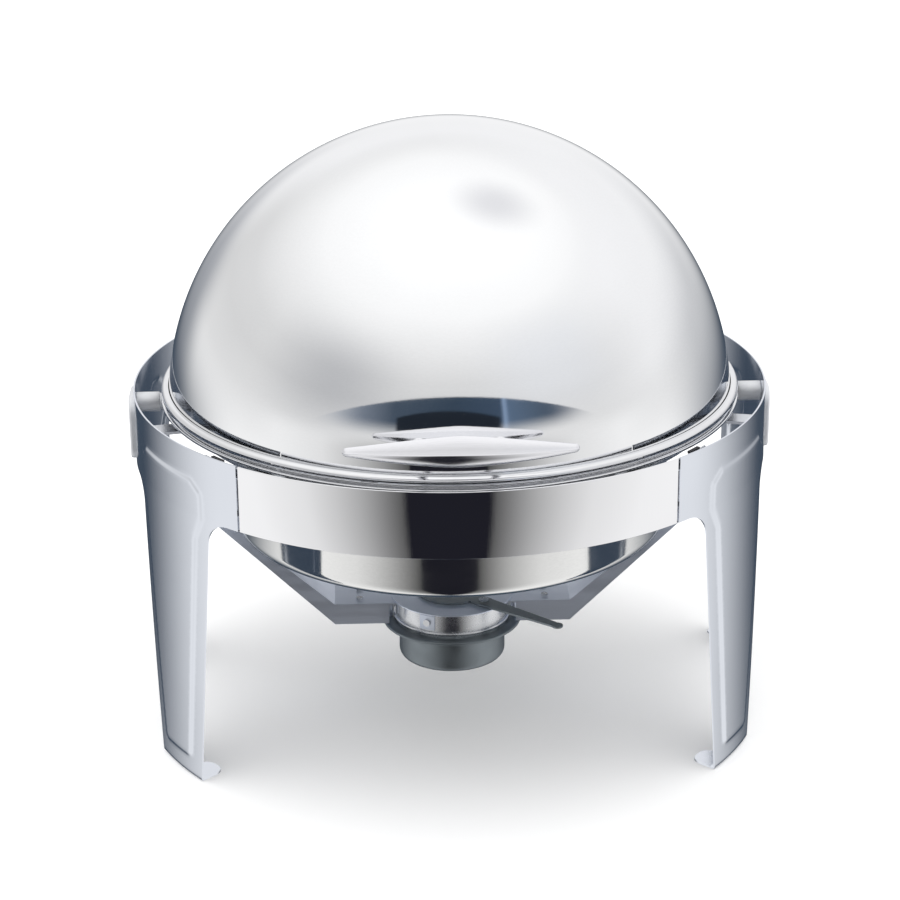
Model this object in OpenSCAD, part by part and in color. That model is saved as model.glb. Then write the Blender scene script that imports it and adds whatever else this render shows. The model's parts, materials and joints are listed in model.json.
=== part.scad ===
// Round roll top chafer: a hemispherical lid that rolls back about a level axis,
// a sheet frame on four legs, a food pan over a water pan, and a fuel burner below.
// Origin: on the table under the centre of the lid. +Z up, -Y towards the guest.

/* [Lid] */
// Outer radius of the spherical lid
dome_r = 200; // [196:1:202]
// Sheet thickness of the lid
dome_t = 1; // [0.8:0.1:1.2]
// Length of the lid handle
handle_len = 150; // [120:5:180]
// Height of the lid handle at its middle
handle_h = 21.4; // [18:0.2:30]
// Height of the handle above the pivot axis
handle_up = 42; // [36:1:60]
// Distance between the two handle posts
post_gap = 52; // [44:2:90]

/* [Frame] */
// Height of the pivot axis above the table
pivot_z = 230; // [225:1:260]
// Outer radius of the frame band
frame_r = 224.5; // [222:0.5:232]
// Sheet thickness of the frame
frame_t = 1.2; // [1:0.1:1.5]
// Height of the frame band
band_h = 46; // [42:1:50]
// How far the band's top edge stands above the pivot axis
band_up = 15.3; // [13:0.1:18]
// How far the legs splay outwards at the table
splay = 3.9; // [0:0.1:8]
// Angle from the front to each front seam
seam_deg = 40; // [36:1:44]
// Gap at each seam
seam_gap = 1.8; // [1:0.1:2.5]
// How far each foot reaches inwards
foot_reach = 21; // [14:1:26]

/* [Pans] */
// Outer radius of the water pan
pan_r = 156; // [140:1:158]
// Depth of the water pan below the pivot axis
pan_depth = 91; // [80:1:93]
// Sheet thickness of both pans
pan_t = 1; // [0.8:0.1:1.2]

/* [Burner] */
// How far the burner stands in front of the centre
burner_fwd = 12; // [8:1:14]
// Outer radius of the burner's upper ring
ring_r = 41.4; // [38:0.2:44]
// Outer radius of the fuel cup
cup_r = 38.7; // [34:0.1:38.8]
// Slope of the bracket's arms
arm_deg = 41; // [40:1:43]

/* [Hidden] */
$fn = 180;
eps = 0.5;                             // overreach of a cutting solid

band_top = pivot_z + band_up;
band_bottom = band_top - band_h;
wall_r = frame_r - frame_t;            // inner radius of the frame sheet
foot_r = frame_r + splay;
half_gap_deg = asin(seam_gap / 2 / frame_r);

rim_z = pivot_z + 12;                  // lower edge of the lid's sheet
rim_low = pivot_z + 7;                 // underside of the lid's rolled rim
rim_r = dome_r + 5;
rim_in = dome_r - 1.8;                 // inner face of the rim

rest_r = rim_r + 1.5;                  // inner radius of the front rest's wall
rest_deg = 54;                         // the rest reaches this far to each side
rest_top = pivot_z + 5;
bumper_h = rim_low - rest_top - 0.3;

bolt_r = 4;
run_gap = 0.05;                        // running clearance of a pin in its bore
ear_t = 1.5;
ear_r = 15;
spacer_r = 7;
cover_w = 44;
cover_h = 46;
cover_proud = 3.7;

carrier_z = pivot_z - 5;               // top face of the ring that carries the pans
pan_corner = 9;
pan_floor = pivot_z - pan_depth;
food_r = 150;
food_floor = pivot_z - 68;

burner_y = -burner_fwd;
bracket_front = burner_y - 18;
bracket_back = 5;
bracket_top = pivot_z - 148.2;
bracket_t = 1.5;
bracket_half = 85.4;                   // half length of the bracket's level part
flange_h = 15.8;
ring_low = pivot_z - 168.5;
collar_r = 50.5;
collar_z = ring_low;
collar_t = 2.5;
cup_floor = pivot_z - dome_r + 4.4;     // clears the rim of the open lid
hole_r = 22;                           // flame opening in the burner's cover
damper_at = [22.6, burner_y - 22.6];   // damper rivet, on the cover's rim
lever_tip = [75.6, burner_y - 68.8];
cover_top = bracket_top + 0.8;

// ---- helpers ----

// Solid of revolution between two angles, counted from the front towards +X
module arc_part(a0, a1) {
    rotate([0, 0, a0 - 90]) rotate_extrude(angle = a1 - a0) children();
}

// Turns a shape that points along +X so that it points to an angle from the front
module toward(a) {
    rotate([0, 0, a - 90]) children();
}

// Extrudes a flat outline (across, up) along +X from x0 to x1
module along_x(x0, x1) {
    translate([x0, 0, 0]) rotate([90, 0, 90]) linear_extrude(x1 - x0) children();
}

// Extrudes a flat outline (x, z) along +Y from y0 to y1
module along_y(y0, y1) {
    translate([0, y1, 0]) rotate([90, 0, 0]) linear_extrude(y1 - y0) children();
}

module ring(r_out, r_in, z0, z1) {
    difference() {
        translate([0, 0, z0]) cylinder(r = r_out, h = z1 - z0);
        translate([0, 0, z0 - eps]) cylinder(r = r_in, h = z1 - z0 + 2 * eps);
    }
}

// Level cylinder along +X at the pivot axis
module pivot_rod(r, x0, x1) {
    translate([x0, 0, pivot_z]) rotate([0, 90, 0]) cylinder(r = r, h = x1 - x0, $fn = 64);
}

module left_side() {
    mirror([1, 0, 0]) children();
}

function arc_points(c, r, a0, a1, n = 6) =
    [for (i = [0 : n]) let (a = a0 + (a1 - a0) * i / n) c + r * [cos(a), sin(a)]];

module rounded_rect(w, h, r) {
    square([w - 2 * r, h], center = true);
    square([w, h - 2 * r], center = true);
    for (x = [-1, 1], y = [-1, 1])
        translate([x * (w / 2 - r), y * (h / 2 - r)]) circle(r = r, $fn = 48);
}

// ---- frame ----

module band_profile() {
    translate([wall_r, band_bottom]) square([frame_t, band_h]);
}

module front_band() {
    color("lightgray") arc_part(half_gap_deg - seam_deg, seam_deg - half_gap_deg) band_profile();
}

module rear_band() {
    color("lightgray") arc_part(180 - seam_deg + half_gap_deg, 180 + seam_deg - half_gap_deg) band_profile();
}

// Sheet outline in section: upright band, legs that splay to the table
module leg_profile() {
    polygon([
        [wall_r, 0] + [splay, 0], [frame_r + splay, 0], [frame_r, band_bottom],
        [frame_r, band_top], [wall_r, band_top], [wall_r, band_bottom]
    ]);
}

// Void beside a leg: a leaning edge from (u0, 0) to (u1, top), filleted into the level top.
// side = -1 puts the void to the left of the edge, side = 1 to its right.
module edge_void(u0, u1, top, far, side, fillet) {
    lean = (u1 - u0) / top;
    c = [u0 + lean * (top - fillet) + side * fillet, top - fillet];
    difference() {
        polygon([[u0, -eps], [u0 + lean * top, top], [far, top], [far, -eps]]);
        difference() {
            polygon([
                [c[0], top + eps], [c[0] - side * (fillet + 8), top + eps],
                [c[0] - side * (fillet + 8), c[1]], [c[0], c[1]]
            ]);
            translate(c) circle(r = fillet, $fn = 72);
        }
    }
}

module side_frame() {
    front_look = 46;                   // each void is cut square to the sheet at its edge
    side_look = 88;
    rear_look = 118;
    arch_top = band_bottom - 5;
    difference() {
        arc_part(seam_deg + half_gap_deg, 180 - seam_deg - half_gap_deg) leg_profile();
        toward(front_look) along_x(150, 250) edge_void(21.9, 6, band_bottom, -40, -1, 20);
        toward(side_look) along_x(150, 250) intersection() {
            edge_void(-87, -56, arch_top, 120, 1, 18);
            edge_void(70.6, 47, arch_top, -120, -1, 18);
        }
        toward(rear_look) along_x(120, 250) edge_void(-17, -27, band_bottom, 110, 1, 20);
        pivot_rod(bolt_r + 0.3, wall_r - 10, frame_r + 10);
    }
    for (tab = [[51.8, 57.4, foot_reach], [106.8, 113, 9]])    // angles of its sides, reach
        arc_part(tab[0], tab[1])
            translate([foot_r - tab[2], 0]) square([tab[2] - frame_t / 2, 1.5]);
}

module side_frame_right() {
    color("gainsboro") side_frame();
}

module side_frame_left() {
    color("gainsboro") left_side() side_frame();
}

// Angle-section wall that the closed lid rests on, welded to the foot of the front band
module front_rest() {
    rest_t = 1.2;
    color("silver") arc_part(-rest_deg, rest_deg) polygon([
        [rest_r, band_bottom], [wall_r, band_bottom], [wall_r, band_bottom + rest_t],
        [rest_r + rest_t, band_bottom + rest_t], [rest_r + rest_t, rest_top], [rest_r, rest_top]
    ]);
}

plate_t = 1.2;
plate_seams = [seam_deg, 180 - seam_deg, 180 + seam_deg, -seam_deg];
plate_z = pivot_z - 2;

module splice_plates() {
    color("gray") for (a = plate_seams)
        arc_part(a - 3.4, a + 3.4) translate([wall_r - plate_t - 0.05, plate_z - 14]) square([plate_t, 22]);
}

module splice_rivets() {
    color("dimgray") for (a = plate_seams, da = [-2, 2], dz = [-9, 3])
        toward(a + da) translate([wall_r - plate_t - 1.55, 0, plate_z + dz]) rotate([0, 90, 0])
            cylinder(r = 2.4, h = 1.45, $fn = 32);
}

module rest_bumpers() {
    color("dimgray") for (a = [-50, -17, 17, 50])
        arc_part(a - 1.6, a + 1.6) translate([rest_r - 0.6, rest_top]) square([2.4, bumper_h]);
}

// ---- pivot ----

module spacer() {
    color("whitesmoke") difference() {
        union() {
            pivot_rod(spacer_r - 1, rim_in + 0.4, rest_r + eps);
            pivot_rod(spacer_r, rest_r, wall_r);
        }
        pivot_rod(bolt_r, rim_in - eps, wall_r + eps);
        difference() {                 // the outer end follows the curved frame wall
            translate([wall_r - 20, -20, pivot_z - 20]) cube([40, 40, 40]);
            translate([0, 0, pivot_z - 30]) cylinder(r = wall_r, h = 60);
        }
    }
}

module pivot_spacer_right() { spacer(); }
module pivot_spacer_left() { left_side() spacer(); }

bolt_in = rim_in - ear_t - 0.3;        // inner face of the lid's ear, less a small gap

module bolt() {
    color("silver") {
        pivot_rod(bolt_r, bolt_in - 1, frame_r + 2.6);
        pivot_rod(6.2, bolt_in - 2.6, bolt_in);
    }
}

module pivot_bolt_right() { bolt(); }
module pivot_bolt_left() { left_side() bolt(); }

module nut() {
    color("silver") difference() {
        translate([frame_r, 0, pivot_z]) rotate([0, 90, 0]) cylinder(r = 7.2, h = 2.4, $fn = 6);
        pivot_rod(bolt_r, frame_r - eps, frame_r + 4);
    }
}

module pivot_nut_right() { nut(); }
module pivot_nut_left() { left_side() nut(); }

// Raised cover over the nut, bent to the frame's curve
module cover_block(inset) {
    intersection() {
        arc_part(70, 110) translate([frame_r - (inset > 0 ? eps : 0), pivot_z - 60])
            square([cover_proud - inset + (inset > 0 ? eps : 0), 80]);
        translate([0, 0, pivot_z + 8 - cover_h / 2]) along_x(200, 240)
            rounded_rect(cover_w - 2 * inset, cover_h - 2 * inset, 12 - inset);
    }
}

module pivot_cover() {
    color("white") difference() {
        cover_block(0);
        cover_block(1);
    }
}

module pivot_cover_right() { pivot_cover(); }
module pivot_cover_left() { left_side() pivot_cover(); }

// ---- pans ----

carrier_t = 2;
carrier_tabs = [[35, rest_r], [78, wall_r]];

// Ring under both pans, on tabs to the front rest and to the side frames
module pan_carrier() {
    color("silver") {
        ring(dome_r - 14, pan_r + 3, carrier_z - carrier_t, carrier_z);
        for (s = [-1, 1], tab = carrier_tabs)
            intersection() {
                toward(s * tab[0]) translate([dome_r - 20, -8, carrier_z - carrier_t])
                    cube([60, 16, carrier_t]);
                translate([0, 0, carrier_z - 5]) cylinder(r = tab[1], h = 10);
            }
    }
}

module carrier_rivets() {
    color("dimgray") for (s = [-1, 1], tab = carrier_tabs, dy = [-4, 4])
        toward(s * tab[0]) translate([dome_r - 6, dy, carrier_z])
            cylinder(r = 2, h = 1.2, $fn = 32);
}

module water_pan() {
    inner = pan_corner - pan_t;
    c = [pan_r - pan_corner, pan_floor + pan_corner];
    color("lightgray") rotate_extrude() polygon(concat(
        [[0, pan_floor]], arc_points(c, pan_corner, -90, 0),
        [[pan_r, carrier_z], [dome_r - 13, carrier_z], [dome_r - 13, carrier_z + pan_t],
            [pan_r - pan_t, carrier_z + pan_t]],
        arc_points(c, inner, 0, -90), [[0, pan_floor + pan_t]]
    ));
}

module food_pan() {
    corner = 18;
    top = carrier_z + pan_t;
    c = [food_r - corner, food_floor + corner];
    color("gainsboro") rotate_extrude() polygon(concat(
        [[0, food_floor]], arc_points(c, corner, -90, 0),
        [[food_r, top], [dome_r - 12, top], [dome_r - 12, top + pan_t], [food_r - pan_t, top + pan_t]],
        arc_points(c, corner - pan_t, 0, -90), [[0, food_floor + pan_t]]
    ));
}

// ---- burner and its bracket ----

// Front view of the bracket: a level middle, h deep, and two sloping arms that narrow to a strip at the wall
module bracket_strip(h) {
    reach = wall_r + 2;
    up = bracket_top + (reach - bracket_half) * tan(arm_deg);
    low = up - min(h, 3);
    polygon([
        [-reach, up], [-bracket_half, bracket_top], [bracket_half, bracket_top], [reach, up],
        [reach, low], [bracket_half, bracket_top - h], [-bracket_half, bracket_top - h], [-reach, low]
    ]);
}

module burner_bracket() {
    color("silver") intersection() {
        difference() {
            union() {
                along_y(bracket_front, bracket_back) bracket_strip(bracket_t);
                for (y = [bracket_front, bracket_back - bracket_t])
                    along_y(y, y + bracket_t) bracket_strip(flange_h);
            }
            translate([0, burner_y, 0]) cylinder(r = ring_r + 0.2, h = pivot_z);
            translate([0, burner_y, 0]) cylinder(r = collar_r - 1, h = bracket_top - bracket_t);
        }
        cylinder(r = wall_r, h = band_top);
    }
}

module bracket_rivets() {
    color("dimgray") for (s = [-1, 1], dy = [-8, 8])
        translate([s * (bracket_half - 18), (bracket_front + bracket_back) / 2 + dy, bracket_top])
            cylinder(r = 2.4, h = 1.2, $fn = 32);
}

// Upper ring with a rolled bead and an inner ledge for the fuel cup
module burner_ring() {
    t = 0.9;
    low = ring_low;
    color("lightgray") translate([0, burner_y, 0]) rotate_extrude($fn = 96) polygon(concat(
        [[cup_r + 0.4, low], [ring_r, low]],
        arc_points([ring_r, low + 5.2], 1.4, -90, 90),
        [[ring_r, bracket_top], [ring_r - t, bracket_top], [ring_r - t, low + 1.2], [cup_r + 0.4, low + 1.2]]
    ));
}

module burner_collar() {
    color("dimgray") translate([0, burner_y, 0]) ring(collar_r, ring_r, collar_z, collar_z + collar_t);
}

module burner_studs() {
    color("gray") for (a = [-90, 90])
        translate([0, burner_y, 0]) toward(a) translate([ring_r + 4.4, 0, collar_z + collar_t])
            cylinder(r = 2.5, h = bracket_top - bracket_t - collar_z - collar_t, $fn = 32);
}

// Annular cover of the burner, round the flame opening
module burner_cover() {
    color("silver") difference() {
        translate([0, burner_y, 0]) ring(ring_r + 3, hole_r, bracket_top, cover_top);
        translate([damper_at[0], damper_at[1], bracket_top - eps]) cylinder(r = 2, h = 3, $fn = 32);
    }
}

clip_deg = -27;

module burner_clip() {
    color("whitesmoke") translate([0, burner_y, 0])
        arc_part(clip_deg - 8, clip_deg + 8) translate([ring_r, bracket_top - 12.5]) square([0.8, 11]);
}

module burner_clip_rivet() {
    color("dimgray") translate([0, burner_y, bracket_top - 7]) toward(clip_deg)
        translate([ring_r + 0.81, 0, 0]) rotate([0, 90, 0]) cylinder(r = 2.6, h = 1.2, $fn = 32);
}

module fuel_cup() {
    corner = 5;
    t = 0.9;
    top = ring_low + 9;
    c = [cup_r - corner, cup_floor + corner];
    color("silver") translate([0, burner_y, 0]) rotate_extrude($fn = 96) polygon(concat(
        [[0, cup_floor]], arc_points(c, corner, -90, 0),
        [[cup_r, ring_low + 1.3], [ring_r - 1.2, ring_low + 1.3], [ring_r - 1.2, ring_low + 2.3],
            [cup_r, ring_low + 2.3], [cup_r, top], [cup_r - t, top]],
        arc_points(c, corner - t, 0, -90), [[0, cup_floor + t]]
    ));
}

module damper_rivet() {
    color("silver") translate([damper_at[0], damper_at[1], 0]) {
        translate([0, 0, bracket_top]) cylinder(r = 2, h = 3.4, $fn = 32);
        translate([0, 0, bracket_top + 2.6]) cylinder(r = 4, h = 1.2, $fn = 32);
    }
}

// Disc over the flame opening with its lever, turning on the rivet
module damper_plate() {
    reach = norm(lever_tip - damper_at);
    turn = atan2(lever_tip[1] - damper_at[1], lever_tip[0] - damper_at[0]);
    color("dimgray") translate([damper_at[0], damper_at[1], cover_top + 0.2])
        difference() {
            linear_extrude(1.4) {
                translate([-damper_at[0], burner_y - damper_at[1]]) circle(r = hole_r + 3, $fn = 96);
                circle(r = 7, $fn = 48);
                rotate(turn) {
                    polygon([[-12, -6], [0, -6.5], [reach - 4, -3.2], [reach - 4, 3.2], [0, 6.5], [-12, 6]]);
                    translate([reach - 4, 0]) circle(r = 4, $fn = 32);
                }
            }
            translate([0, 0, -eps]) cylinder(r = 2 + run_gap, h = 3, $fn = 32);
        }
}

// ---- lid ----

module at_posts() {
    for (s = [-1, 1]) translate([s * post_gap / 2, 0, pivot_z + handle_up - post_drop]) children();
}

post_end = -dome_r - 14;               // front face of the posts, back of the handle
post_r = 3.4;
post_drop = 5.8;                       // the posts stand below the middle of the handle
screw_r = 2;

module lid_dome() {
    color("whitesmoke") difference() {
        intersection() {
            translate([0, 0, pivot_z]) difference() {
                sphere(r = dome_r);
                sphere(r = dome_r - dome_t);
            }
            translate([-dome_r - 5, -dome_r - 5, rim_z]) cube([2 * dome_r + 10, 2 * dome_r + 10, dome_r]);
        }
        at_posts() rotate([90, 0, 0]) cylinder(r = screw_r, h = dome_r + 5, $fn = 32);
    }
}

// Rolled rim round the lid's edge: an upper bead, a groove and a thin lower lip
module lid_rim() {
    seat = dome_r - 0.25;
    color("lightgray") rotate_extrude() polygon([
        [rim_in, rim_low], [rim_r, rim_low], [rim_r, rim_low + 2.2], [dome_r + 3, rim_low + 3],
        [dome_r + 1.6, rim_low + 3.4], [dome_r + 1.6, rim_low + 4.6], [dome_r + 3.2, rim_low + 5.4],
        [dome_r + 3.8, rim_low + 7.4], [dome_r + 3.2, rim_low + 9.4], [dome_r + 1.8, rim_low + 10.2],
        [seat, rim_low + 10], [seat, rim_z], [rim_in, rim_z]
    ]);
}

// Curved ear welded inside the rim, bored for the pivot bolt
module lid_ear() {
    color("silver") difference() {
        intersection() {
            arc_part(80, 100) translate([rim_in - ear_t, pivot_z - 20]) square([ear_t, rim_z - pivot_z + 20]);
            along_x(150, 220) union() {
                translate([0, pivot_z]) circle(r = ear_r, $fn = 72);
                translate([-ear_r, pivot_z]) square([2 * ear_r, rim_z - pivot_z]);
            }
        }
        pivot_rod(bolt_r + run_gap, 150, 220);
    }
}

module lid_ear_right() { lid_ear(); }
module lid_ear_left() { left_side() lid_ear(); }

module handle_posts() {
    color("silver") difference() {
        at_posts() rotate([90, 0, 0]) cylinder(r = post_r, h = -post_end, $fn = 48);
        translate([0, 0, pivot_z]) sphere(r = dome_r);
        at_posts() rotate([90, 0, 0]) cylinder(r = screw_r, h = dome_r + 8, $fn = 32);
    }
}

module handle_screws() {
    head_y = 189;
    color("silver") at_posts() rotate([90, 0, 0]) {
        translate([0, 0, head_y - 2.4]) cylinder(r = 4.5, h = 2.4, $fn = 32);
        translate([0, 0, head_y - 0.1]) cylinder(r = screw_r, h = dome_r + 6 - head_y, $fn = 32);
    }
}

// Leaf-shaped grip with a ridge along its middle and pointed ends
module lid_handle() {
    half = handle_h / 2;
    depth = 16;
    back = post_end;
    leaf_r = (pow(handle_len / 2, 2) + half * half) / (2 * half);
    color("silver") translate([0, 0, pivot_z + handle_up]) intersection() {
        along_y(back - depth - 1, back) intersection_for (s = [-1, 1])
            translate([0, s * (leaf_r - half)]) circle(r = leaf_r, $fn = 360);
        along_x(-handle_len / 2, handle_len / 2) polygon([
            [back, 2 - half], [back, half - 2], [back - 9, half], [back - depth, 0], [back - 9, -half]
        ]);
    }
}

front_band();
rear_band();
side_frame_left();
side_frame_right();
front_rest();
splice_plates();
splice_rivets();
rest_bumpers();
pivot_spacer_left();
pivot_spacer_right();
pivot_bolt_left();
pivot_bolt_right();
pivot_nut_left();
pivot_nut_right();
pivot_cover_left();
pivot_cover_right();
pan_carrier();
carrier_rivets();
water_pan();
food_pan();
burner_bracket();
bracket_rivets();
burner_cover();
burner_ring();
burner_collar();
burner_studs();
burner_clip();
burner_clip_rivet();
fuel_cup();
damper_rivet();
damper_plate();
lid_dome();
lid_rim();
lid_ear_left();
lid_ear_right();
handle_posts();
handle_screws();
lid_handle();
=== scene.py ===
"""Looks of a round roll top chafer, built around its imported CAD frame.

Metres, +Z up, -Y towards the guest. Angles named phi are counted from the front (-Y) towards +X.
"""
import json
import math

import bmesh
import bpy
import numpy as np
from mathutils import Matrix, Vector
from mathutils.geometry import delaunay_2d_cdt


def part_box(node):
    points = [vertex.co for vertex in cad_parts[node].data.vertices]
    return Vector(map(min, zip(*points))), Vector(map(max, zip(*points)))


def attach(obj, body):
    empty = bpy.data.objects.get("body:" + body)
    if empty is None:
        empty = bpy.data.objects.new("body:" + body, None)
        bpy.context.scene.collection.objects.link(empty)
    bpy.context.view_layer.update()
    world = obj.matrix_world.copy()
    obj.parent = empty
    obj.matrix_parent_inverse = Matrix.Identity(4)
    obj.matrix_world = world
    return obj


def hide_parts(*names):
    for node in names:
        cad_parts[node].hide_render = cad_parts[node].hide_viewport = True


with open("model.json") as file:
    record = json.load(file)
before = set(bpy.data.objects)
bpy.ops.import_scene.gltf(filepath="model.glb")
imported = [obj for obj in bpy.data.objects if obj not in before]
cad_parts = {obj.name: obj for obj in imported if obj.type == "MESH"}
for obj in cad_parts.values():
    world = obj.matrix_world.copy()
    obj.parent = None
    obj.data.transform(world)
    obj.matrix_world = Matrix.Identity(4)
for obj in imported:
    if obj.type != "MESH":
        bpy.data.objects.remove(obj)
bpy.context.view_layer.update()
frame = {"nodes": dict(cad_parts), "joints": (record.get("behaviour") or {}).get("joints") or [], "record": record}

MM = 0.001
HINGE = next(j for j in frame["joints"] if j["name"] == "lid_hinge")
PIVOT_Z = HINGE["pos_m"][2]
DOME_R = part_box("lid_dome")[1].z - PIVOT_Z
BAND_LOW, BAND_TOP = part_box("front_band")[0].z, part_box("front_band")[1].z
BAND_R = -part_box("front_band")[0].y
SHEET_T = 1.2 * MM
INNER_R = DOME_R + 6.5 * MM      # inside of the front rest, and the shoulder of the pivot spacers
BURNER_R = 41.4 * MM            # outside of the burner ring


# ---------------------------------------------------------------- node helpers

class Graph:
    """Short names for the shader nodes that the materials and the surroundings use."""

    def __init__(self, tree):
        self.tree = tree

    def node(self, kind, **props):
        n = self.tree.nodes.new(kind)
        for key, value in props.items():
            setattr(n, key, value)
        return n

    def put(self, socket, value):
        if isinstance(value, bpy.types.NodeSocket):
            self.tree.links.new(value, socket)
        else:
            socket.default_value = value

    def math(self, operation, a, b=0.0):
        n = self.node("ShaderNodeMath", operation=operation)
        self.put(n.inputs[0], a)
        self.put(n.inputs[1], b)
        return n.outputs[0]

    def fade(self, value, start, end, low=0.0, high=1.0):
        """Smooth step of value from low at start to high at end; start may be above end."""
        n = self.node("ShaderNodeMapRange", interpolation_type="SMOOTHSTEP")
        if start > end:
            start, end, low, high = end, start, high, low
        for socket, v in zip(n.inputs, (value, start, end, low, high)):
            self.put(socket, v)
        return n.outputs[0]

    def ramp(self, value, stops, smooth=True):
        n = self.node("ShaderNodeValToRGB")
        n.color_ramp.interpolation = "EASE" if smooth else "LINEAR"
        elements = n.color_ramp.elements
        while len(elements) < len(stops):
            elements.new(0.5)
        for element, (at, grey) in zip(elements, sorted(stops)):
            element.position = at
            element.color = (*(grey if isinstance(grey, tuple) else (grey,) * 3), 1)
        self.put(n.inputs[0], value)
        return n.outputs[0]

    def mix(self, factor, a, b):
        n = self.node("ShaderNodeMix", data_type="RGBA")
        self.put(n.inputs[0], factor)
        self.put(n.inputs[6], a if isinstance(a, bpy.types.NodeSocket) else (*a, 1))
        self.put(n.inputs[7], b if isinstance(b, bpy.types.NodeSocket) else (*b, 1))
        return n.outputs[2]

    def noise(self, vector, scale, detail=2.0, rough=0.5):
        n = self.node("ShaderNodeTexNoise")
        self.put(n.inputs["Vector"], vector)
        n.inputs["Scale"].default_value = scale
        n.inputs["Detail"].default_value = detail
        n.inputs["Roughness"].default_value = rough
        return n.outputs[0]

    def stretch(self, vector, scale):
        n = self.node("ShaderNodeVectorMath", operation="MULTIPLY")
        self.put(n.inputs[0], vector)
        n.inputs[1].default_value = scale
        return n.outputs[0]

    def around(self, vector, radius):
        """(arc length round the Z axis, distance from it, height) of a place."""
        split = self.node("ShaderNodeSeparateXYZ")
        self.put(split.inputs[0], vector)
        x, y, z = split.outputs
        turn = self.math("MULTIPLY", self.math("ARCTAN2", x, self.math("MULTIPLY", y, -1.0)), radius)
        away = self.math("SQRT", self.math("ADD", self.math("MULTIPLY", x, x), self.math("MULTIPLY", y, y)))
        join = self.node("ShaderNodeCombineXYZ")
        for socket, v in zip(join.inputs, (turn, away, z)):
            self.put(socket, v)
        return join.outputs[0]


# ---------------------------------------------------------------- materials

def steel(name, colour, rough, grain, bump, spread, radius=None, tint=0.06):
    """Polished or brushed stainless steel. grain is the stretch of the brush lines along (across, out, up)
    in lines per metre, round the Z axis if radius is given; spread is how much the polish varies."""
    m = bpy.data.materials.new(name)
    m.use_nodes = True
    g = Graph(m.node_tree)
    shader = m.node_tree.nodes["Principled BSDF"]
    shader.inputs["Metallic"].default_value = 1.0
    place = g.node("ShaderNodeTexCoord").outputs["Object"]
    lines_at = g.around(place, radius) if radius else place
    lines = g.noise(g.stretch(lines_at, grain), 1.0, 3.0, 0.6)
    clouds = g.noise(place, 9.0, 3.0)
    wipes = g.noise(g.stretch(lines_at, tuple(v * 0.06 for v in grain)), 1.0, 2.0)
    dark = tuple(c * (1 - tint) for c in colour)
    shade = g.mix(g.fade(clouds, 0.35, 0.68), dark, colour)
    shade = g.mix(g.fade(lines, 0.3, 0.75, 0.0, 0.5), shade, tuple(min(1, c * (1 + tint / 2)) for c in colour))
    g.put(shader.inputs["Base Color"], shade)
    polish = g.math("ADD", g.fade(wipes, 0.3, 0.7, rough, rough + spread), g.fade(lines, 0.3, 0.7, 0.0, spread * 0.5))
    g.put(shader.inputs["Roughness"], polish)
    b = g.node("ShaderNodeBump")
    b.inputs["Strength"].default_value = bump
    b.inputs["Distance"].default_value = 0.0002
    g.put(b.inputs["Height"], lines)
    g.put(shader.inputs["Normal"], b.outputs[0])
    return m


def rubber(name, colour):
    m = bpy.data.materials.new(name)
    m.use_nodes = True
    g = Graph(m.node_tree)
    shader = m.node_tree.nodes["Principled BSDF"]
    place = g.node("ShaderNodeTexCoord").outputs["Object"]
    specks = g.noise(place, 900.0, 4.0)
    g.put(shader.inputs["Base Color"], g.mix(g.fade(specks, 0.3, 0.7), colour, tuple(c * 1.6 for c in colour)))
    g.put(shader.inputs["Roughness"], g.fade(specks, 0.2, 0.8, 0.55, 0.8))
    b = g.node("ShaderNodeBump")
    b.inputs["Strength"].default_value = 0.2
    b.inputs["Distance"].default_value = 0.0002
    g.put(b.inputs["Height"], specks)
    g.put(shader.inputs["Normal"], b.outputs[0])
    return m


LOOKS = {
    "lid_steel": steel("lid_steel", (0.93, 0.935, 0.945), 0.03, (60, 60, 900), 0.010, 0.02, radius=1.0, tint=0.025),
    "rim_steel": steel("rim_steel", (0.86, 0.865, 0.88), 0.05, (40, 600, 900), 0.010, 0.03, radius=1.0),
    "band_steel": steel("band_steel", (0.94, 0.94, 0.955), 0.015, (2500, 40, 30), 0.02, 0.02, radius=1.0, tint=0.03),
    "leg_steel": steel("leg_steel", (0.76, 0.79, 0.85), 0.08, (1800, 40, 40), 0.030, 0.05, radius=1.0, tint=0.04),
    "rest_steel": steel("rest_steel", (0.78, 0.80, 0.84), 0.28, (60, 60, 1500), 0.05, 0.08, radius=1.0),
    "pivot_steel": steel("pivot_steel", (0.93, 0.94, 0.96), 0.55, (900, 900, 900), 0.06, 0.10),
    "fastener_steel": steel("fastener_steel", (0.70, 0.71, 0.73), 0.18, (1500, 1500, 1500), 0.05, 0.08),
    "pan_steel": steel("pan_steel", (0.88, 0.88, 0.87), 0.06, (60, 60, 1200), 0.03, 0.05, radius=1.0),
    # the grey of bracket_steel is the steel's own; its blue cast is a painted reflection of the blue-grey surroundings
    # the flange faces
    "bracket_steel": steel("bracket_steel", (0.80, 0.85, 0.95), 0.42, (40, 2200, 2200), 0.08, 0.08),
    "burner_steel": steel("burner_steel", (0.74, 0.75, 0.77), 0.20, (40, 900, 1800), 0.10, 0.08, radius=1.0),
    "dark_steel": steel("dark_steel", (0.24, 0.27, 0.29), 0.36, (1200, 1200, 1200), 0.08, 0.10),
    "handle_steel": steel("handle_steel", (0.86, 0.86, 0.89), 0.07, (60, 2600, 2600), 0.03, 0.05),
    "bumper_rubber": rubber("bumper_rubber", (0.03, 0.03, 0.033)),
}


# ---------------------------------------------------------------- mesh helpers

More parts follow.
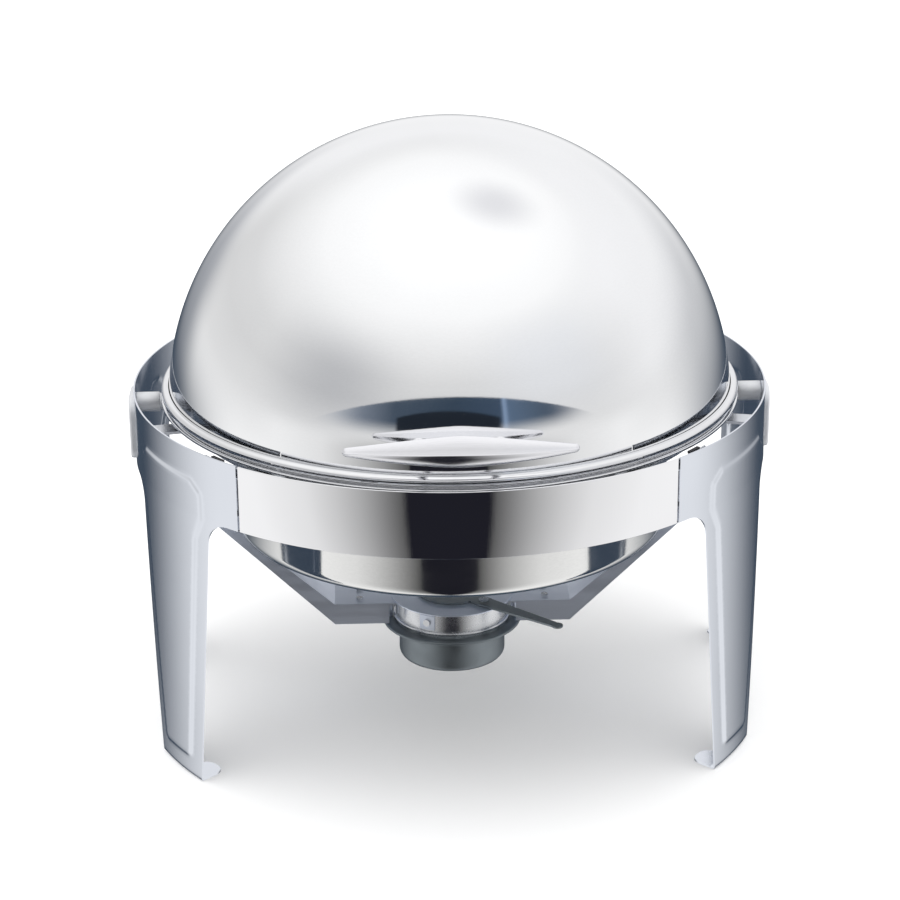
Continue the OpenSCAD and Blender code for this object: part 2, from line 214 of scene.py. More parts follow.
def piece(name, verts, faces, look, body, stands_for=(), sharp=32):
    """A mesh of the visual model, smooth except where it folds by more than sharp degrees."""
    mesh = bpy.data.meshes.new(name)
    mesh.from_pydata([tuple(v) for v in verts], [], [tuple(f) for f in faces])
    bm = bmesh.new()
    bm.from_mesh(mesh)
    bmesh.ops.remove_doubles(bm, verts=bm.verts, dist=2e-6)
    bmesh.ops.recalc_face_normals(bm, faces=bm.faces)
    bm.to_mesh(mesh)
    bm.free()
    mesh.shade_smooth()
    mesh.set_sharp_from_angle(angle=math.radians(sharp))
    obj = bpy.data.objects.new(name, mesh)
    bpy.context.collection.objects.link(obj)
    mesh.materials.append(LOOKS[look])
    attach(obj, body)
    if stands_for:
        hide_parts(*stands_for)
    return obj


def rounded(points, radius, steps=5):
    """A closed outline with every corner rounded. radius is one number or one per corner."""
    pts = [Vector(p) for p in points]
    radii = radius if isinstance(radius, (list, tuple)) else [radius] * len(pts)
    out = []
    for i, (p, r) in enumerate(zip(pts, radii)):
        a, b = pts[i - 1], pts[(i + 1) % len(pts)]
        u, v = (a - p), (b - p)
        bend = math.pi - u.angle(v)
        if r <= 0 or bend < 0.02:
            out.append(p)
            continue
        cut = min(r * math.tan(bend / 2), u.length * 0.49, v.length * 0.49)
        r = cut / math.tan(bend / 2)
        u.normalize()
        v.normalize()
        centre = p + (u + v).normalized() * (r / math.cos(bend / 2))
        start, end = p + u * cut - centre, p + v * cut - centre
        for k in range(steps + 1):
            t = k / steps
            out.append(centre + start.slerp(end, t).normalized() * r)
    return out


def revolve(outline, turns=256, phi0=0.0, phi1=360.0, axis=(0.0, 0.0)):
    """Verts and faces of a closed (r, z) outline turned about an upright axis, from phi0 to phi1 degrees."""
    whole = abs(phi1 - phi0) >= 359.999
    n, cols = len(outline), turns if whole else turns + 1
    verts, faces = [], []
    for c in range(cols):
        a = math.radians(phi0 + (phi1 - phi0) * c / turns)
        for r, z in outline:
            verts.append((axis[0] + r * math.sin(a), axis[1] - r * math.cos(a), z))
    for c in range(turns):
        d = (c + 1) % cols
        for k in range(n):
            j = (k + 1) % n
            if outline[k][0] < 1e-9 and outline[j][0] < 1e-9:
                continue
            quad = [c * n + k, d * n + k, d * n + j, c * n + j]
            if outline[k][0] < 1e-9:
                quad = [c * n + k, d * n + j, c * n + j]
            elif outline[j][0] < 1e-9:
                quad = [c * n + k, d * n + k, c * n + j]
            faces.append(quad)
    if not whole:
        faces.append(list(range(n)))
        faces.append([turns * n + k for k in reversed(range(n))])
    return verts, faces


def loft(rings, closed_ends=True):
    """Skin over equal rings of points; the ends are filled."""
    n = len(rings[0])
    verts = [p for ring in rings for p in ring]
    faces = [
        (i * n + k, i * n + (k + 1) % n, (i + 1) * n + (k + 1) % n, (i + 1) * n + k)
        for i in range(len(rings) - 1) for k in range(n)
    ]
    if closed_ends:
        faces += [tuple(range(n)), tuple((len(rings) - 1) * n + k for k in range(n))]
    return verts, faces


def mirrored(verts):
    return [(-x, y, z) for x, y, z in verts]


# ---------------------------------------------------------------- lid

def build_dome():
    """Spherical sheet, 1 mm thick, cut off level at its lower edge."""
    rim_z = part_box("lid_dome")[0].z - PIVOT_Z
    inner_r = DOME_R - 1.0 * MM
    rows = 96
    low_out, low_in = math.asin(rim_z / DOME_R), math.asin(rim_z / inner_r)
    outer = [(DOME_R * math.cos(t), PIVOT_Z + DOME_R * math.sin(t))
             for t in (low_out + (math.pi / 2 - low_out) * k / rows for k in range(rows + 1))]
    inner = [(inner_r * math.cos(t), PIVOT_Z + inner_r * math.sin(t))
             for t in (math.pi / 2 - (math.pi / 2 - low_in) * k / rows for k in range(rows + 1))]
    outer[-1], inner[0] = (0.0, outer[-1][1]), (0.0, inner[0][1])
    verts, faces = revolve(outer + inner, 320)
    piece("dome_shell", verts, faces, "lid_steel", "lid", ["lid_dome"], sharp=50)


def build_rim():
    """Rolled rim: a round bead, a groove and a thin turned lip."""
    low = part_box("lid_rim")[0].z
    r = DOME_R
    corners = [(-1.8, 0), (5, 0), (5, 1.9), (1.4, 2.4), (1.4, 3.2)]
    radii = [0.4, 0.6, 0.8, 0.3, 0.2]
    bead_r, bead_z = 3.45, 6.7
    for k in range(13):
        a = -math.pi / 2 + math.pi * k / 12
        corners.append((1.4 + bead_r * math.cos(a), bead_z + bead_r * math.sin(a)))
        radii.append(0)
    corners += [(-0.25, 10), (-0.25, 5), (-1.8, 5)]
    radii += [0.1, 0.1, 0.4]
    points = rounded([(r + x * MM, low + z * MM) for x, z in corners], [v * MM for v in radii], 4)
    verts, faces = revolve(points, 320)
    piece("rim_roll", verts, faces, "rim_steel", "lid", ["lid_rim"], sharp=40)


def build_handle():
    """Leaf-shaped grip bent back a little like the lid: a ridge, two soft facets, a round back and blunt tips."""
    lo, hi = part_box("lid_handle")
    half, mid_z, half_h = (hi.x - lo.x) / 2, (lo.z + hi.z) / 2, (hi.z - lo.z) / 2
    bend, tip = 8 * MM, 0.036
    rings = []
    steps = 96
    for k in range(steps + 1):
        x = half * math.sin((k / steps - 0.5) * math.pi)
        f = abs(x) / half
        end = math.sqrt(max(0.0, 1 - max(0.0, (f - 1 + tip) / tip) ** 2))
        width = 0.24 + 0.76 * (1 - f ** 1.4)
        h = half_h * width * end + 0.02 * MM
        ridge = lo.y + 0.2 * MM + bend * f * f + 2.6 * MM * (1 - end)
        edge = (1.2 * MM + 5.8 * MM * width) * (0.3 + 0.7 * end)
        back = min(ridge + edge + (0.8 + 8.0 * width) * MM * (0.2 + 0.8 * end), hi.y)
        behind = back - ridge - edge
        upper = [(ridge + edge * 0.07, h * 0.07), (ridge + edge * 0.24, h * 0.34), (ridge + edge * 0.50, h * 0.66),
                 (ridge + edge * 0.78, h * 0.90), (ridge + edge, h),
                 (ridge + edge + behind * 0.35, h * 0.90), (ridge + edge + behind * 0.8, h * 0.55)]
        section = [(ridge, 0.0)] + upper + [(back, 0.0)] + [(y, -z) for y, z in reversed(upper)]
        rings.append([(x, y, mid_z + z) for y, z in section])
    verts, faces = loft(rings)
    piece("handle_grip", verts, faces, "handle_steel", "lid", ["lid_handle"], sharp=28)


def build_posts():
    """Two round posts with a small foot where they meet the lid."""
    lo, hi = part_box("handle_posts")
    grip_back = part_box("lid_handle")[1].y
    z, post_r = (lo.z + hi.z) / 2, (hi.z - lo.z) / 2
    profile = [(0.0, 1.5), (0.7, 1.5), (1.4, 1.28), (2.2, 1.06), (3.0, 1.0), (22.0, 1.0)]
    for side, name in ((-1, "left"), (1, "right")):
        x = side * (hi.x - post_r)
        rings = []
        for out, grow in profile:
            ring = []
            for k in range(32):
                a = 2 * math.pi * k / 32
                px, pz = x + post_r * grow * math.cos(a), z + post_r * grow * math.sin(a)
                skin = -math.sqrt(DOME_R ** 2 - px * px - (pz - PIVOT_Z) ** 2)
                ring.append((px, max(skin - out * MM, grip_back - 2.5 * MM), pz))
            rings.append(ring)
        verts, faces = loft(rings)
        post = piece("handle_post_" + name, verts, faces, "handle_steel", "lid", sharp=40)
        if side < 0:
            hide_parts("handle_posts")


# ---------------------------------------------------------------- side frames

FOOT_SPLAY = 3.9 * MM
FRONT_TAB, REAR_TAB = (51.8, 57.4, 21 * MM), (106.8, 113.0, 9 * MM)   # its two sides in degrees, how far it reaches
SEAM_DEG = 40.23                # where the side sheets end at the bands, counted from the front and from the back
BAND_HALF_DEG = 39.77           # half the arc of the front and rear bands
REST_HALF_DEG = 54              # half the arc of the front rest
FILLET, ARCH_FILLET = 20 * MM, 18 * MM
ARCH_TOP = BAND_LOW - 5 * MM
BEND_R = 2.4 * MM
# each leg edge: the direction it is cut square to, and how far aside it is at the table and at its top
FRONT_EDGE = (46.0, 21.9 * MM, 6.0 * MM, BAND_LOW)
ARCH_FRONT = (88.0, -87.0 * MM, -56.0 * MM, ARCH_TOP)
ARCH_REAR = (88.0, 70.6 * MM, 47.0 * MM, ARCH_TOP)
REAR_EDGE = (118.0, -17.0 * MM, -27.0 * MM, BAND_LOW)


def sheet_r(z):
    """Outer radius of the frame sheet at a height: upright band, splayed legs."""
    return BAND_R + FOOT_SPLAY * max(0.0, min(1.0, 1 - z / BAND_LOW))


def edge_phi(edge, z, aside=None):
    look, at_table, at_top, top = edge
    u = at_table + (at_top - at_table) * z / top if aside is None else aside
    return look + math.degrees(math.asin(u / sheet_r(z)))


def edge_line(edge, side, fillet, steps=26):
    """Points (phi, z) up a leg edge from the table, then round the fillet into the level top."""
    _, at_table, at_top, top = edge
    z_c = top - fillet
    points = [(edge_phi(edge, z_c * k / steps), z_c * k / steps) for k in range(steps + 1)]
    centre = at_table + (at_top - at_table) * z_c / top + side * fillet
    for k in range(1, 13):
        a = math.pi / 2 * k / 12
        z = z_c + fillet * math.sin(a)
        points.append((edge_phi(edge, z, centre - side * fillet * math.cos(a)), z))
    return points


def foot_tab(tab, corner):
    """Outline below the table line, unrolled: the tab that is bent inwards, with round corners."""
    phi0, phi1, reach = tab
    end = 2 * BEND_R - BEND_R * math.pi / 2 - reach
    k = math.degrees(1 / BAND_R)
    flat = [(phi0 / k, 0.0), (phi0 / k, end), (phi1 / k, end), (phi1 / k, 0.0)]
    return [(p.x * k, p.y) for p in rounded(flat, [0, corner, corner, 0], 8)][1:-1]


def side_outline():
    """Closed outline of one side sheet in (phi, height), the height unrolled below the bend of the feet."""
    front = edge_line(FRONT_EDGE, -1, FILLET)
    arch_front = edge_line(ARCH_FRONT, 1, ARCH_FILLET)
    arch_rear = edge_line(ARCH_REAR, -1, ARCH_FILLET)
    rear = edge_line(REAR_EDGE, 1, FILLET)
    level = [(SEAM_DEG, BAND_LOW), (SEAM_DEG, BAND_TOP), (180 - SEAM_DEG, BAND_TOP), (180 - SEAM_DEG, BAND_LOW)]
    rear_tab = foot_tab(REAR_TAB, 3 * MM)
    front_tab = foot_tab(FRONT_TAB, 9 * MM)
    return (front + level + rear[::-1] + rear_tab[::-1] + arch_rear
            + arch_front[::-1] + front_tab[::-1])


def panel_outline(near, far, low, high):
    """Raised panel of a leg, bottle-shaped: a narrow body between the leg's edges and wider shoulders."""
    margin, shoulder, kink = 3.3, 1.9, 0.183
    body = [(edge_phi(near, z) + margin, z) for z in (kink, 0.1, low)]
    other = [(edge_phi(far, z) - margin * 0.8, z) for z in (low, 0.1, kink)]
    top = [(other[-1][0] + shoulder, kink + 15 * MM), (other[-1][0] + shoulder, high - 8 * MM),
           (other[-1][0] + shoulder - 2.5, high), (body[0][0] - shoulder + 2.8, high),
           (body[0][0] - shoulder, high - 8 * MM), (body[0][0] - shoulder, kink + 15 * MM)]
    return body + other + top


def signed_distance(points, outline):
    """Distance of points to a closed outline, positive inside."""
    a = np.array(outline)
    b = np.roll(a, -1, axis=0)
    best = np.full(len(points), 1e9)
    inside = np.zeros(len(points), bool)
    for (ax, ay), (bx, by) in zip(a, b):
        dx, dy = bx - ax, by - ay
        t = np.clip(((points[:, 0] - ax) * dx + (points[:, 1] - ay) * dy) / (dx * dx + dy * dy + 1e-18), 0, 1)
        best = np.minimum(best, np.hypot(points[:, 0] - ax - t * dx, points[:, 1] - ay - t * dy))
        if ay != by:
            cross = ((ay > points[:, 1]) != (by > points[:, 1])) & (
                points[:, 0] < (bx - ax) * (points[:, 1] - ay) / (by - ay) + ax)
            inside ^= cross
    return np.where(inside, best, -best)


def resample(outline, step):
    """Extra points so that no stretch of a closed outline is longer than step."""
    out = []
    for i, p in enumerate(outline):
        q = outline[(i + 1) % len(outline)]
        length = math.hypot(q[0] - p[0], q[1] - p[1])
        n = max(1, math.ceil(length / step))
        out += [(p[0] + (q[0] - p[0]) * k / n, p[1] + (q[1] - p[1]) * k / n) for k in range(n)]
    return out


def flat_mesh(outline, rings, step):
    """Triangles over a closed outline, with points on a grid and along the extra rings."""
    edge = resample(outline, step)
    extra = np.array([p for ring in rings for p in resample(ring, step)])
    xs = np.arange(min(p[0] for p in edge), max(p[0] for p in edge), step)
    ys = np.arange(min(p[1] for p in edge), max(p[1] for p in edge), step)
    grid = np.array([(x + (step / 2 if j % 2 else 0), y) for j, y in enumerate(ys) for x in xs])
    free = signed_distance(grid, edge) > step * 0.6
    for ring in rings:
        free &= np.abs(signed_distance(grid, ring)) > step * 0.55
    inner = grid[free]
    if len(extra):
        extra = extra[signed_distance(extra, edge) > step * 0.6]
        inner = np.concatenate([inner, extra])
    points = [Vector(p) for p in edge] + [Vector(p) for p in inner]
    n = len(edge)
    loop = [(i, (i + 1) % n) for i in range(n)]
    verts, _, faces, *_ = delaunay_2d_cdt(points, loop, [list(range(n))], 1, 1e-9)
    return np.array([tuple(v) for v in verts]), faces


def bend_sheet(flat, lift):
    """Outer and inner points of the side sheet from unrolled (arc length, height) and how far each is raised."""
    outer, inner = [], []
    quarter = BEND_R * math.pi / 2
    for (s, v), up in zip(flat, lift):
        phi = s / BAND_R
        if v >= BEND_R:
            r, z, tilt = sheet_r(v), v, 0.0
        else:
            tilt = min((BEND_R - v) / BEND_R, math.pi / 2)
            r = sheet_r(BEND_R) - BEND_R * (1 - math.cos(tilt)) - max(0.0, BEND_R - quarter - v)
            z = BEND_R - BEND_R * math.sin(tilt)
        for out, away in ((outer, up), (inner, up - SHEET_T)):
            rr, zz = r + away * math.cos(tilt), z - away * math.sin(tilt)
            out.append((rr * math.sin(phi), -rr * math.cos(phi), zz))
    return outer, inner


def build_side_frames():
    """Band quarter and two legs of one sheet, with raised leg panels, bent feet and rounded corners."""
    to_arc = math.radians(1) * BAND_R
    outline = [(p * to_arc, z) for p, z in side_outline()]
    high = PIVOT_Z - 6 * MM
    panels = [
        [(p.x, p.y) for p in rounded([(phi * to_arc, z) for phi, z in panel_outline(near, far, 15 * MM, high)], 5 * MM)]
        for near, far in ((FRONT_EDGE, ARCH_FRONT), (ARCH_REAR, REAR_EDGE))
    ]
    fine = 2.0 * MM
    step = 1.8 * MM
    offsets = []
    for panel in panels:
        for grow in (-fine, -fine / 2, 0.0, fine / 2, fine):
            ring = []
            for i, p in enumerate(panel):
                a, b = Vector(panel[i - 1]), Vector(panel[(i + 1) % len(panel)])
                along = (b - a).normalized()
                ring.append((p[0] + along.y * grow, p[1] - along.x * grow))
            offsets.append(ring)
    flat, faces = flat_mesh(outline, offsets, step)
    lift = np.zeros(len(flat))
    for panel in panels:
        depth = signed_distance(flat, panel)
        t = np.clip(depth / (2 * fine) + 0.5, 0, 1)
        lift = np.maximum(lift, 1.1 * MM * t * t * (3 - 2 * t))
    outer, inner = bend_sheet(flat, lift)
    n = len(outer)
    counts = {}
    for f in faces:
        for a, b in zip(f, f[1:] + f[:1]):
            counts[(a, b)] = counts.get((a, b), 0) + 1
    rim = [(a, b) for a, b in counts if (b, a) not in counts]
    all_faces = [list(f) for f in faces] + [[n + i for i in reversed(f)] for f in faces]
    all_faces += [[b, a, n + a, n + b] for a, b in rim]
    for name, verts in (("right", outer + inner), ("left", mirrored(outer + inner))):
        piece("side_sheet_" + name, verts, all_faces, "leg_steel", "frame", ["side_frame_" + name], sharp=50)


# ---------------------------------------------------------------- bands, rest and pivots

def build_bands():
    """Front and rear band with softened edges."""
    soft = 0.35 * MM
    corners = [(BAND_R - SHEET_T, BAND_LOW), (BAND_R, BAND_LOW), (BAND_R, BAND_TOP), (BAND_R - SHEET_T, BAND_TOP)]
    points = rounded(corners, soft, 3)
    for name, mid in (("front", 0.0), ("rear", 180.0)):
        verts, faces = revolve(points, 120, mid - BAND_HALF_DEG, mid + BAND_HALF_DEG)
        piece(name + "_band_sheet", verts, faces, "band_steel", "frame", [name + "_band"], sharp=40)


def build_spacers():
    """Turned spacers between the lid's ears and the frame."""
    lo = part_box("pivot_spacer_right")[0]
    wall = BAND_R - SHEET_T
    shoulder = INNER_R
    points = [(lo.x, 4.05), (lo.x, 5.6), (lo.x + 0.4 * MM, 6), (shoulder, 6), (shoulder + 0.1 * MM, 6.6),
              (shoulder + 0.6 * MM, 7), (wall - 0.5 * MM, 7), (wall - 0.05 * MM, 6.6), (wall - 0.05 * MM, 4.05)]
    turns = 48
    rings = []
    for x, r in points:
        rings.append([(x, r * MM * math.cos(a), PIVOT_Z + r * MM * math.sin(a))
                      for a in (2 * math.pi * k / turns for k in range(turns))])
    rings.append(rings[0])
    verts, faces = loft(rings, closed_ends=False)
    for name, v in (("right", verts), ("left", mirrored(verts))):
        piece("spacer_" + name, v, faces, "pivot_steel", "frame", ["pivot_spacer_" + name], sharp=40)


def build_covers():
    """Pressed cover over each pivot nut: a soft-edged pad bent to the frame."""
    lo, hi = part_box("pivot_cover_right")
    mid_z, half_w, half_h = (lo.z + hi.z) / 2, (hi.y - lo.y) / 2, (hi.z - lo.z) / 2
    corner = 12 * MM
    proud = hi.x - BAND_R
    levels = [(0.0, 0.0), (0.0, 0.55), (0.25, 0.8), (0.7, 0.95), (1.5, 1.0), (6.0, 1.0), (14.0, 1.0), (24.0, 1.0)]
    rings = []
    for inset, lift in levels:
        w, h = half_w - inset * MM, half_h - inset * MM
        c = max(corner - inset * MM, 1.5 * MM)
        ring = rounded([(-w, -h), (w, -h), (w, h), (-w, h)], c, 8)
        r = BAND_R + proud * lift
        rings.append([(r * math.cos(p.x / BAND_R), r * math.sin(p.x / BAND_R), mid_z + p.y) for p in ring])
    verts, faces = loft(rings)
    for name, v in (("right", verts), ("left", mirrored(verts))):
        piece("cover_pad_" + name, v, faces, "pivot_steel", "frame", ["pivot_cover_" + name], sharp=50)


def build_rest():
    """Front rest: a fold of sheet with a soft top edge."""
    lo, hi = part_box("front_rest")
    r0, t = INNER_R, SHEET_T
    wall = BAND_R - SHEET_T
    corners = [(r0, lo.z), (wall, lo.z), (wall, lo.z + t), (r0 + t, lo.z + t), (r0 + t, hi.z), (r0, hi.z)]
    points = rounded(corners, [2.2 * MM, 0.1 * MM, 0.3 * MM, 1.0 * MM, 0.5 * MM, 0.5 * MM], 4)
    verts, faces = revolve(points, 160, -REST_HALF_DEG, REST_HALF_DEG)
    piece("rest_fold", verts, faces, "rest_steel", "frame", ["front_rest"], sharp=40)


# ---------------------------------------------------------------- pans and burner

def build_pans():
    """Water pan and food pan: drawn sheet with round corners and rolled flange edges."""
    t = 1.0 * MM
    for name, wall, low_corner, neck in (("water_pan", 156 * MM, 9, 2), ("food_pan", 150 * MM, 18, 3)):
        lo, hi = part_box(name)
        corners = [(0, lo.z), (wall, lo.z), (wall, hi.z - t), (hi.x, hi.z - t), (hi.x, hi.z),
                   (wall - t, hi.z), (wall - t, lo.z + t), (0, lo.z + t)]
        radii = [0, low_corner * MM, 0.5 * MM, 0.45 * MM, 0.45 * MM, neck * MM, (low_corner - 1) * MM, 0]
        verts, faces = revolve(rounded(corners, radii, 12), 288)
        piece(name + "_shell", verts, faces, "pan_steel", "frame", [name], sharp=40)


def build_burner():
    """Burner ring with rolled beads, fuel cup and collar, turned about the burner's own axis."""
    lo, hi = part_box("burner_collar")
    axis = (0.0, (lo.y + hi.y) / 2)
    lo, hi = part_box("burner_ring")
    r, t = BURNER_R, 0.9 * MM
    lip = 39.1 * MM             # the inward lip that the fuel cup rests on
    bead = [(r + 1.4 * MM * math.sin(a), lo.z + 5.2 * MM - 1.4 * MM * math.cos(a))
            for a in (math.pi * k / 10 for k in range(11))]
    points = ([(lip, lo.z), (r, lo.z)] + bead + [(r, hi.z - 0.4 * MM), (r - 0.4 * MM, hi.z), (r - t, hi.z),
              (r - t, lo.z + 1.2 * MM), (lip, lo.z + 1.2 * MM)])
    verts, faces = revolve(points, 128, axis=axis)
    piece("burner_ring_turned", verts, faces, "burner_steel", "frame", ["burner_ring"], sharp=40)
    ledge = lo.z + 1.3 * MM
    lo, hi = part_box("fuel_cup")
    r = 38.7 * MM
    corners = [(0, lo.z), (r, lo.z), (r, ledge), (40.2 * MM, ledge), (40.2 * MM, ledge + 1 * MM), (r, ledge + 1 * MM),
               (r, hi.z), (r - t, hi.z), (r - t, lo.z + t), (0, lo.z + t)]
    radii = [0, 5 * MM, 0.1 * MM, 0.3 * MM, 0.3 * MM, 0.1 * MM, 0.4 * MM, 0.4 * MM, 4 * MM, 0]
    verts, faces = revolve(rounded(corners, radii, 8), 128, axis=axis)
    piece("fuel_cup_turned", verts, faces, "dark_steel", "frame", ["fuel_cup"], sharp=40)
    lo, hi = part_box("burner_collar")
    corners = [(BURNER_R, lo.z), (hi.x, lo.z), (hi.x, hi.z), (BURNER_R, hi.z)]
    verts, faces = revolve(rounded(corners, [0.1 * MM, 1.1 * MM, 1.1 * MM, 0.1 * MM], 6), 128, axis=axis)
    piece("collar_turned", verts, faces, "dark_steel", "frame", ["burner_collar"], sharp=60)


def dress_cad_nodes():
    """CAD nodes whose shape is right keep it and take their slot's material."""
    for part in frame["record"]["subparts"]:
        node = frame["nodes"][part["node"]]
        if not node.hide_render:
            node.data.materials.clear()
            node.data.materials.append(LOOKS[part["material_slot"]])


# ---------------------------------------------------------------- studio

def studio_colour(g, direction):
    """What polished steel sees: a white tent with white walls to the right and behind, greyer low down, and an
    opening at the front with a dark room beyond it."""
    split = g.node("ShaderNodeSeparateXYZ")
    g.put(split.inputs[0], direction)
    x, y, z = split.outputs
    degrees = 180 / math.pi
    az = g.math("MULTIPLY", g.math("ARCTAN2", x, g.math("MULTIPLY", y, -1.0)), degrees)
    el = g.math("MULTIPLY", g.math("ARCSINE", z), degrees)
    side = g.math("ABSOLUTE", az)
    height = g.math("DIVIDE", g.math("ADD", el, 90.0), 180.0)

    def at(deg):
        return (deg + 90) / 180

    def near(value, middle, outer, inner):
        """1 within inner of the middle, falling to 0 at outer."""
        return g.fade(g.math("ABSOLUTE", g.math("SUBTRACT", value, middle)), outer, inner)

    def tint(tent, amount, across, up, colour):
        """The tent with a soft-edged zone of another colour."""
        return g.mix(g.math("MULTIPLY", g.math("MULTIPLY", across, up), amount), tent, colour)

    tent = g.ramp(height, [(0.0, 0.92), (at(-12), 0.95), (at(-4), 0.86), (at(4), 0.76), (at(14), 0.70), (at(24), 0.74),
                           (at(36), 0.88), (at(50), 1.02), (at(70), 1.10), (1.0, 1.12)], smooth=False)
    # greyer to the front left, an even light grey to the front right
    tent = tint(tent, 0.47, near(az, -52.0, 42.0, 0.0), near(el, 19.0, 26.0, 2.0), (0.30, 0.31, 0.34))
    tent = tint(tent, 0.55, near(az, 45.0, 45.0, 5.0), near(el, 26.0, 26.0, 4.0), (0.84, 0.86, 0.90))
    # white walls to the right and behind
    tent = tint(tent, 0.85, near(az, 122.0, 70.0, 22.0), near(el, 25.0, 32.0, 12.0), (0.97, 0.97, 0.98))
    tent = tint(tent, 0.85, g.fade(side, 138.0, 164.0), near(el, 14.0, 30.0, 10.0), (0.97, 0.97, 0.98))
    # low behind and beside: dark blue studio
    low = g.fade(el, 2.0, -16.0)
    behind = g.math("MULTIPLY", g.fade(side, 92.0, 150.0), low)
    tent = g.mix(behind, tent, (0.055, 0.075, 0.105))
    tent = tint(tent, 0.38, near(az, 130.0, 42.0, 4.0), near(el, -3.0, 24.0, 2.0), (0.17, 0.19, 0.23))
    tent = tint(tent, 0.66, near(az, -152.0, 26.0, 2.0), near(el, -2.0, 18.0, 1.0), (0.16, 0.18, 0.22))
    # faint gap in the ceiling
    ceiling = g.node("ShaderNodeVectorMath", operation="DISTANCE")
    g.put(ceiling.inputs[0], direction)
    ceiling.inputs[1].default_value = (0.241, 0.234, 0.942)
    tent = g.mix(g.fade(ceiling.outputs["Value"], 0.30, 0.02, 0.0, 0.42), tent, (0.45, 0.45, 0.50))
    # the opening: an arch across the front, dark room behind it
    arch = g.math("SUBTRACT", 19.2, g.math("MULTIPLY", g.math("MULTIPLY", az, az), 0.0047))
    under = g.fade(g.math("SUBTRACT", arch, el), -0.25, 0.35)
    over = g.fade(el, 1.5, 9.0)
    wide = g.fade(side, 62.0, 38.0)
    room = g.ramp(g.math("DIVIDE", g.math("ADD", az, 60.0), 120.0), [
        (0.08, (0.42, 0.45, 0.50)), (0.20, (0.17, 0.20, 0.25)), (0.30, (0.062, 0.085, 0.12)),
        (0.50, (0.040, 0.062, 0.095)), (0.655, (0.048, 0.075, 0.12)), (0.668, (0.24, 0.33, 0.48)),
        (0.682, (0.10, 0.15, 0.23)), (0.80, (0.075, 0.105, 0.15)), (0.92, (0.14, 0.16, 0.20))], smooth=False)
    tent = g.mix(g.math("MULTIPLY", g.math("MULTIPLY", under, over), wide), tent, room)
    # the table in front: greying towards a dark strip that runs up to the opening
    off = g.math("ABSOLUTE", g.math("ADD", az, 2.3))    # its middle is a little to the left, as the camera is
    table = g.ramp(g.math("DIVIDE", off, 90.0), [
        (0.166, 0.085), (0.235, 0.22), (0.34, 0.44), (0.44, 0.62), (0.56, 0.80), (0.80, 0.93)], smooth=False)
    front = g.math("MULTIPLY", g.fade(side, 88.0, 66.0), g.fade(el, 3.0, -5.0))
    tent = g.mix(front, tent, table)
    # the camera's side: a dark strip a little to the left, and a round-cornered dark patch above it in the opening
    strip = g.math("MULTIPLY", g.fade(off, 15.2, 14.8), g.fade(el, 8.0, 4.0))
    tent = g.mix(strip, tent, (0.0135, 0.0135, 0.0195))
    bowl = g.math("MULTIPLY", g.math("MULTIPLY", off, off), 0.0085)
    patch = g.math("MULTIPLY", g.fade(g.math("ADD", el, bowl), 14.2, 13.2), g.fade(el, 3.0, 6.0))
    patch = g.math("MULTIPLY", patch, g.fade(off, 21.5, 19.5))
    return g.mix(patch, tent, (0.016, 0.021, 0.030))


def build_studio():
    world = bpy.data.worlds.new("studio")
    bpy.context.scene.world = world
    world.use_nodes = True
    world.cycles.sampling_method = "NONE"
    tree = world.node_tree
    tree.nodes.clear()
    g = Graph(tree)
    direction = g.node("ShaderNodeTexCoord").outputs["Generated"]
    seen = g.node("ShaderNodeBackground")
    g.put(seen.inputs["Color"], studio_colour(g, direction))
    soft = g.node("ShaderNodeBackground")
    soft.inputs["Color"].default_value = (1.0, 1.0, 1.0, 1)
    soft.inputs["Strength"].default_value = 1.25
    pick = g.node("ShaderNodeMixShader")
    g.put(pick.inputs[0], g.node("ShaderNodeLightPath").outputs["Is Glossy Ray"])
    g.put(pick.inputs[1], soft.outputs[0])
    g.put(pick.inputs[2], seen.outputs[0])
    out = g.node("ShaderNodeOutputWorld")
    g.put(out.inputs["Surface"], pick.outputs[0])


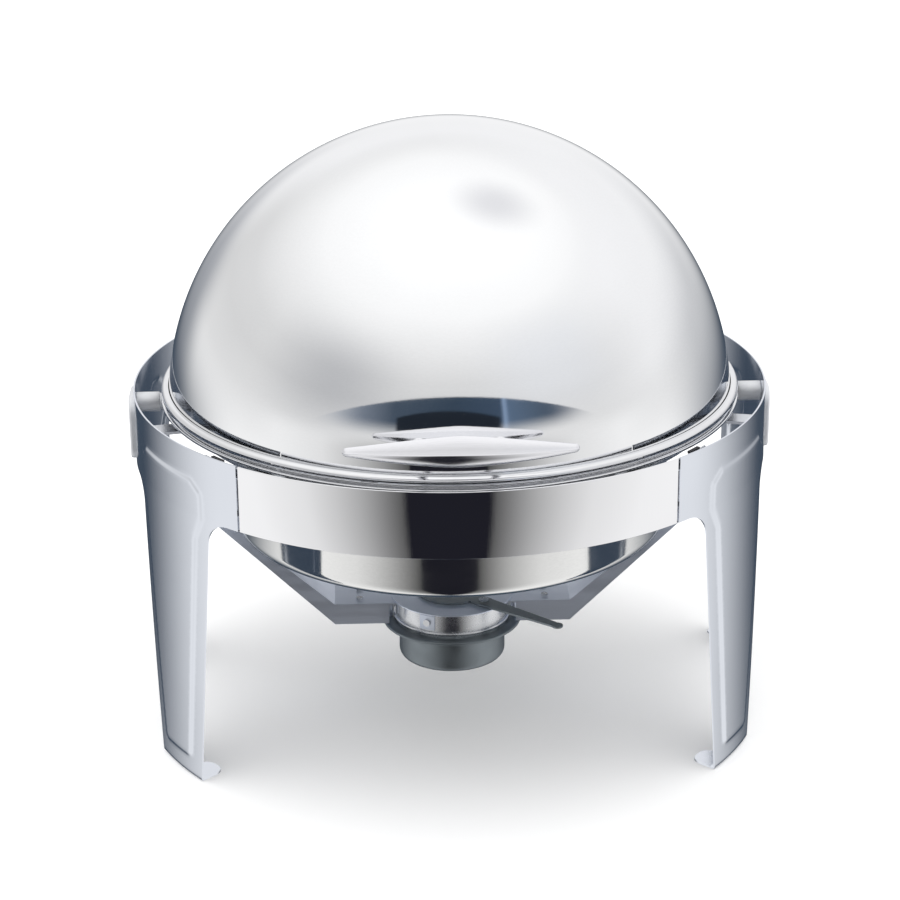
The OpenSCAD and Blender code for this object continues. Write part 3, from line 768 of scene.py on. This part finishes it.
def build_floor():
    """Plain pale floor; polished parts see the studio in its place."""
    size = 30.0
    mesh = bpy.data.meshes.new("floor")
    mesh.from_pydata([(-size, -size, 0), (size, -size, 0), (size, size, 0), (-size, size, 0)], [], [(0, 1, 2, 3)])
    floor = bpy.data.objects.new("floor", mesh)
    bpy.context.collection.objects.link(floor)
    m = bpy.data.materials.new("pale_floor")
    m.use_nodes = True
    g = Graph(m.node_tree)
    shader = m.node_tree.nodes["Principled BSDF"]
    place = g.node("ShaderNodeTexCoord").outputs["Object"]
    cloud = g.noise(place, 3.0, 2.0)
    g.put(shader.inputs["Base Color"], g.mix(cloud, (0.945, 0.945, 0.945), (0.955, 0.955, 0.955)))
    g.put(shader.inputs["Roughness"], g.fade(cloud, 0.2, 0.8, 0.85, 0.95))
    shader.inputs["Specular IOR Level"].default_value = 0.0
    mesh.materials.append(m)
    floor.visible_glossy = False


def build_lights():
    """One broad soft light overhead, for the floor's soft shadow."""
    light = bpy.data.lights.new("ceiling", "AREA")
    light.shape = "RECTANGLE"
    light.size, light.size_y = 2.6, 2.0
    light.energy = 18.0
    lamp = bpy.data.objects.new("ceiling", light)
    lamp.location = (-0.3, -0.4, 2.3)
    lamp.rotation_euler = (math.radians(-9), math.radians(-7), 0)
    lamp.visible_glossy = False
    lamp.visible_camera = False
    bpy.context.collection.objects.link(lamp)


def build_camera():
    """Long lens, slightly above and just left of the front."""
    distance, rise, pitch = 1.807, math.radians(19.64), math.radians(20.87)
    turn, roll = math.radians(1.82), math.radians(0.46)
    data = bpy.data.cameras.new("camera")
    data.lens, data.sensor_width = 100.9, 36.0
    data.clip_start, data.clip_end = 0.05, 100.0
    cam = bpy.data.objects.new("camera", data)
    place = Vector((-math.cos(rise) * math.sin(turn), -math.cos(rise) * math.cos(turn), math.sin(rise))) * distance
    cam.matrix_world = (Matrix.Translation(Vector((0, 0, PIVOT_Z)) + place) @ Matrix.Rotation(-turn, 4, "Z")
                        @ Matrix.Rotation(math.pi / 2 - pitch, 4, "X") @ Matrix.Rotation(-roll, 4, "Z"))
    bpy.context.collection.objects.link(cam)
    bpy.context.scene.camera = cam


build_camera()
build_studio()
build_floor()
build_lights()
build_dome()
build_rim()
build_handle()
build_posts()
build_side_frames()
build_bands()
build_spacers()
build_covers()
build_rest()
build_pans()
build_burner()
dress_cad_nodes()
bpy.context.scene.view_settings.view_transform = "Standard"
